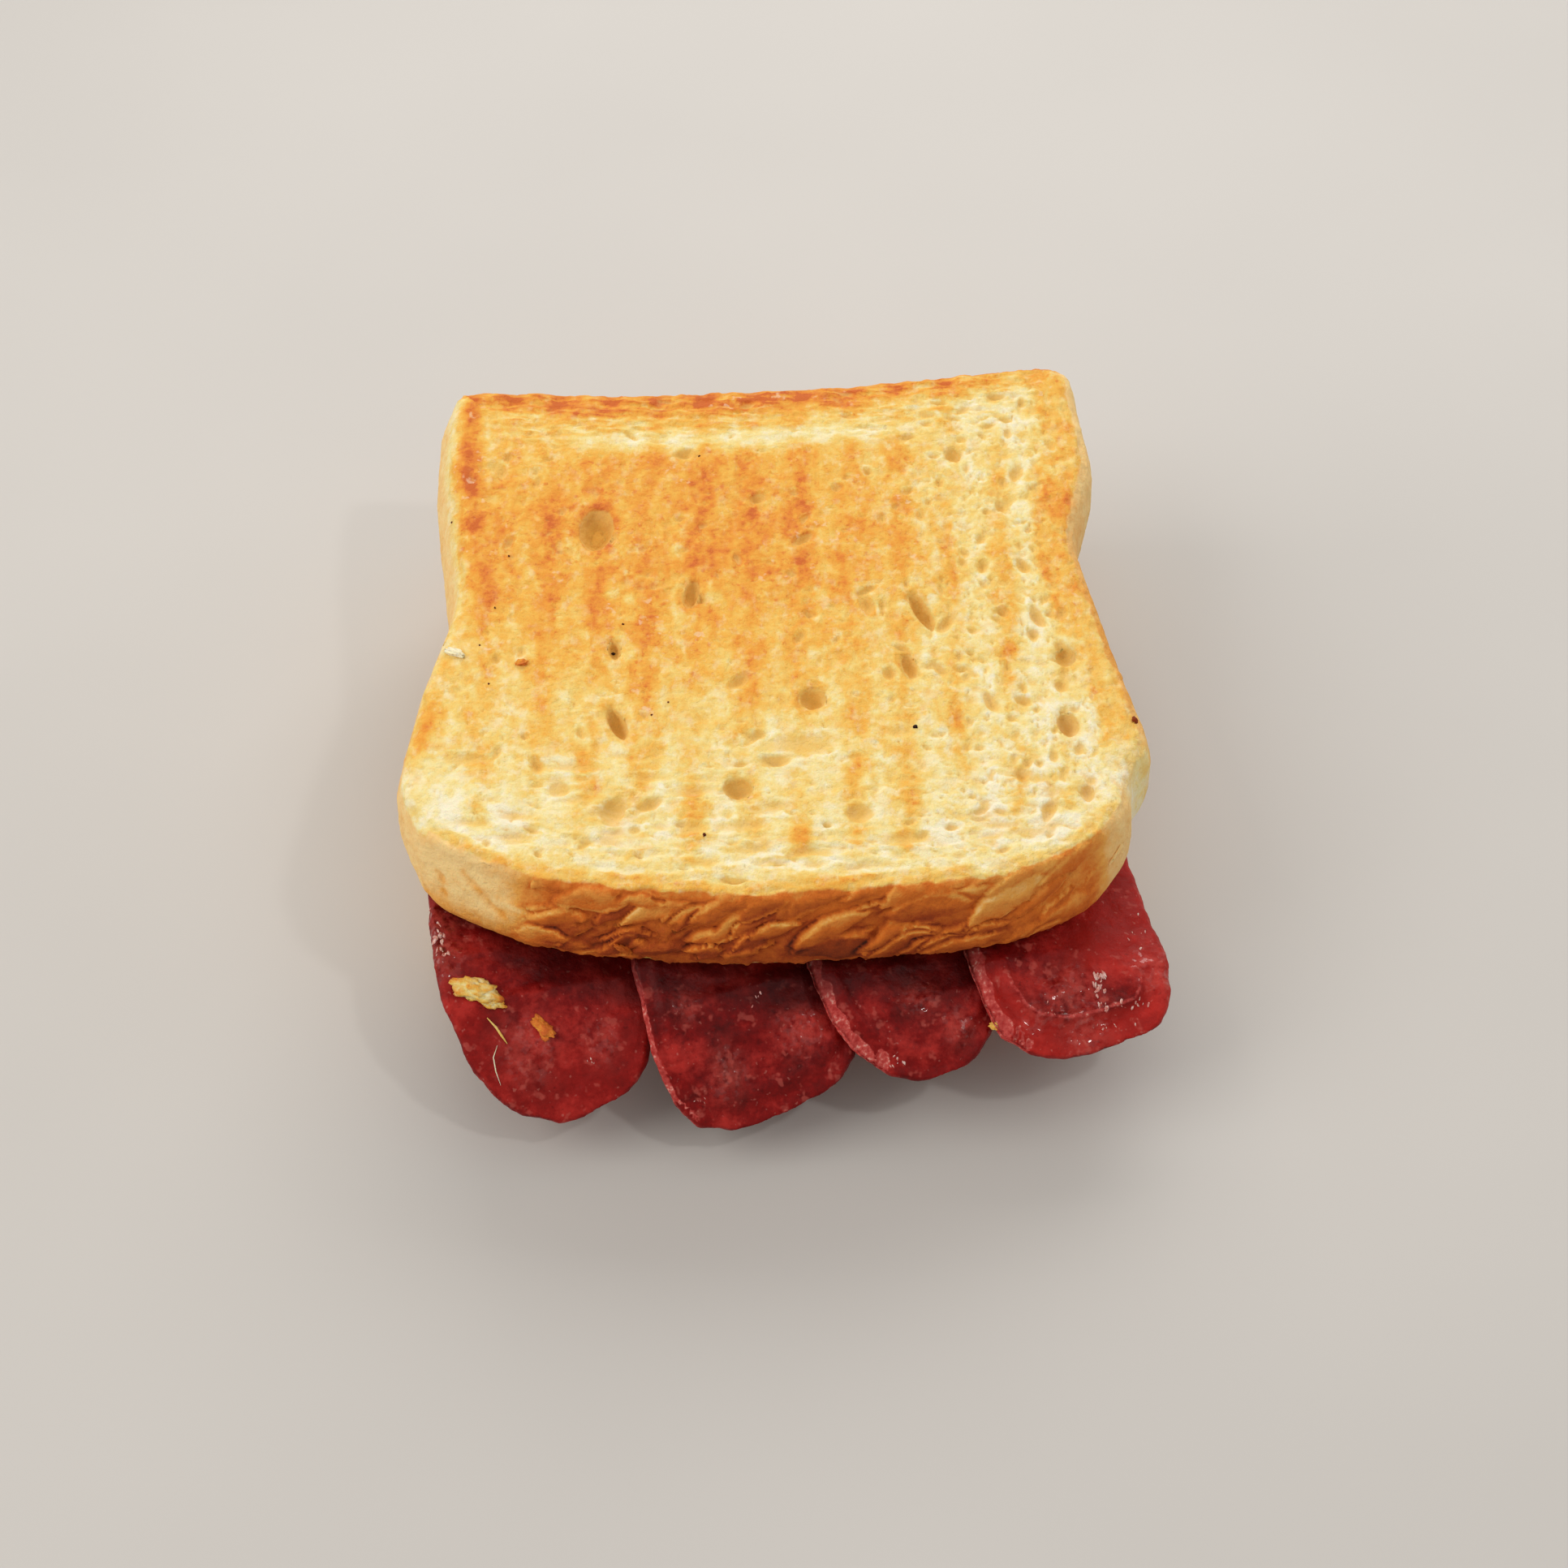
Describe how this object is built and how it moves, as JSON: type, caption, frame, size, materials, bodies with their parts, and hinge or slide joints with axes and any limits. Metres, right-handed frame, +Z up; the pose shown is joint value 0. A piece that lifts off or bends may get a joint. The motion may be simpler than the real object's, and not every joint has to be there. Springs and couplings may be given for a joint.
{
  "type": "toasted sausage cheese sandwich",
  "caption": "Toasted sandwich of loaf bread with melted cheese and long slices of cured sausage that hang out at the front.",
  "frame": {"origin": "middle of the bottom slice's flat underside, under the middle of the loaf outline", "axes": "+Z up through the stack, -Y towards the front where the domed crust is and the sausage hangs out, +X to the right seen from the front"},
  "size_m": [0.1186, 0.1372, 0.0405],
  "materials": {
    "toasted_bread": "matte",
    "melted_cheese": "satin",
    "sausage": "glossy"
  },
  "bodies": {
    "root": {"bread_bottom": "toasted_bread", "cheese": "melted_cheese", "sausage_1": "sausage", "sausage_2": "sausage", "sausage_3": "sausage", "sausage_4": "sausage", "bread_top": "toasted_bread"}
  },
  "joints": []
}
